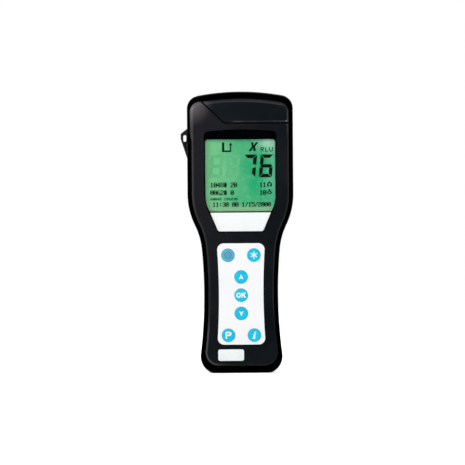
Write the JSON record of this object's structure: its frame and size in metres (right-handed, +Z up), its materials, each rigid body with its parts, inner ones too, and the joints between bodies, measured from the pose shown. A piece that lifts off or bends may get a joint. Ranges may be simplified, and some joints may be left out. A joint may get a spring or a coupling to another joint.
{
  "type": "handheld luminometer",
  "caption": "Handheld luminometer with a waisted case, green display, round-key membrane pad, side-hinged top lid over the swab chamber, strap lug and battery door.",
  "frame": {"origin": "centre of the flat base that the case stands on, on the case's long axis", "axes": "+Z up along the long axis to the lid, the display faces -Y, +X to the viewer's right with the lid hinge, the strap lug at -X"},
  "size_m": [0.076, 0.0331, 0.1902],
  "materials": {
    "case_black": "fine satin moulding grain",
    "liner_black": "matt, light tight",
    "seal_rubber": "matt",
    "cover_rubber": "matt",
    "window_clear": "polished",
    "mask_black": "printed film",
    "panel_white": "printed film",
    "lcd_green": "polarised glass",
    "light_guide": "frosted",
    "frame_grey": "moulded",
    "overlay_white": "satin film",
    "key_power_blue": "satin film",
    "key_cyan": "satin film",
    "spring_steel": "plated",
    "label_white": "blank film",
    "label_silver": "blank film",
    "screw_steel": "zinc plated",
    "board_green": "solder mask",
    "chip_black": "moulded",
    "can_aluminium": "satin",
    "cell_steel": "satin",
    "tin_steel": "tinned",
    "cable_amber": "film",
    "filter_clear": "polished",
    "battery_sleeve": "blank sleeve"
  },
  "bodies": {
    "case": {"battery_contacts": "spring_steel", "battery_left": "battery_sleeve", "battery_right": "battery_sleeve", "battery_springs": "spring_steel", "board_capacitors": "can_aluminium", "board_chips": "chip_black", "buzzer": "chip_black", "case_screws": "screw_steel", "case_seal": "seal_rubber", "chamber_deck": "liner_black", "chamber_seal": "seal_rubber", "chamber_tube": "liner_black", "chamber_window": "filter_clear", "coin_cell": "cell_steel", "data_socket": "tin_steel", "detector_board": "board_green", "detector_cable": "cable_amber", "detector_housing": "liner_black", "detector_shield": "tin_steel", "display_window": "window_clear", "front_case": "case_black", "hinge_pin": "screw_steel", "key_domes": "spring_steel", "keypad_overlay": "overlay_white", "label_plate": "label_white", "lcd_backlight": "light_guide", "lcd_contacts": "seal_rubber", "lcd_frame": "frame_grey", "lcd_glass": "lcd_green", "main_board": "board_green", "name_panel": "panel_white", "photodiode": "can_aluminium", "rear_case": "case_black", "rear_label": "label_silver", "window_mask": "mask_black"},
    "lid": {"lid_shell": "case_black", "lid_liner": "liner_black"},
    "door": {"battery_door": "case_black"},
    "cover": {"port_cover": "cover_rubber"},
    "key_down": {"key_down": "key_cyan"},
    "key_info": {"key_info": "key_cyan"},
    "key_ok": {"key_ok": "key_cyan"},
    "key_power": {"key_power": "key_power_blue"},
    "key_program": {"key_program": "key_cyan"},
    "key_star": {"key_star": "key_cyan"},
    "key_up": {"key_up": "key_cyan"}
  },
  "joints": [
    {"name": "lid_hinge", "type": "hinge", "parent": "case", "child": "lid", "pos_m": [0.0337, 0, 0.1664], "axis": [0, 1, 0], "range_deg": [0, 95]},
    {"name": "door_hinge", "type": "hinge", "parent": "case", "child": "door", "pos_m": [0, 0.0154, 0.1007], "axis": [-1, 0, 0], "range_deg": [0, 95]},
    {"name": "cover_hinge", "type": "hinge", "parent": "case", "child": "cover", "pos_m": [0.02435, -0.0028, 0.053], "axis": [0, 0, 1], "range_deg": [0, 95]},
    {"name": "key_down_press", "type": "slide", "parent": "case", "child": "key_down", "axis": [0, 1, 0], "range_m": [0, 0.0004], "stiffness_N_per_m": 1500, "springref_m": -0.0002},
    {"name": "key_info_press", "type": "slide", "parent": "case", "child": "key_info", "axis": [0, 1, 0], "range_m": [0, 0.0004], "stiffness_N_per_m": 1500, "springref_m": -0.0002},
    {"name": "key_ok_press", "type": "slide", "parent": "case", "child": "key_ok", "axis": [0, 1, 0], "range_m": [0, 0.0004], "stiffness_N_per_m": 1500, "springref_m": -0.0002},
    {"name": "key_power_press", "type": "slide", "parent": "case", "child": "key_power", "axis": [0, 1, 0], "range_m": [0, 0.0004], "stiffness_N_per_m": 1500, "springref_m": -0.0002},
    {"name": "key_program_press", "type": "slide", "parent": "case", "child": "key_program", "axis": [0, 1, 0], "range_m": [0, 0.0004], "stiffness_N_per_m": 1500, "springref_m": -0.0002},
    {"name": "key_star_press", "type": "slide", "parent": "case", "child": "key_star", "axis": [0, 1, 0], "range_m": [0, 0.0004], "stiffness_N_per_m": 1500, "springref_m": -0.0002},
    {"name": "key_up_press", "type": "slide", "parent": "case", "child": "key_up", "axis": [0, 1, 0], "range_m": [0, 0.0004], "stiffness_N_per_m": 1500, "springref_m": -0.0002}
  ]
}
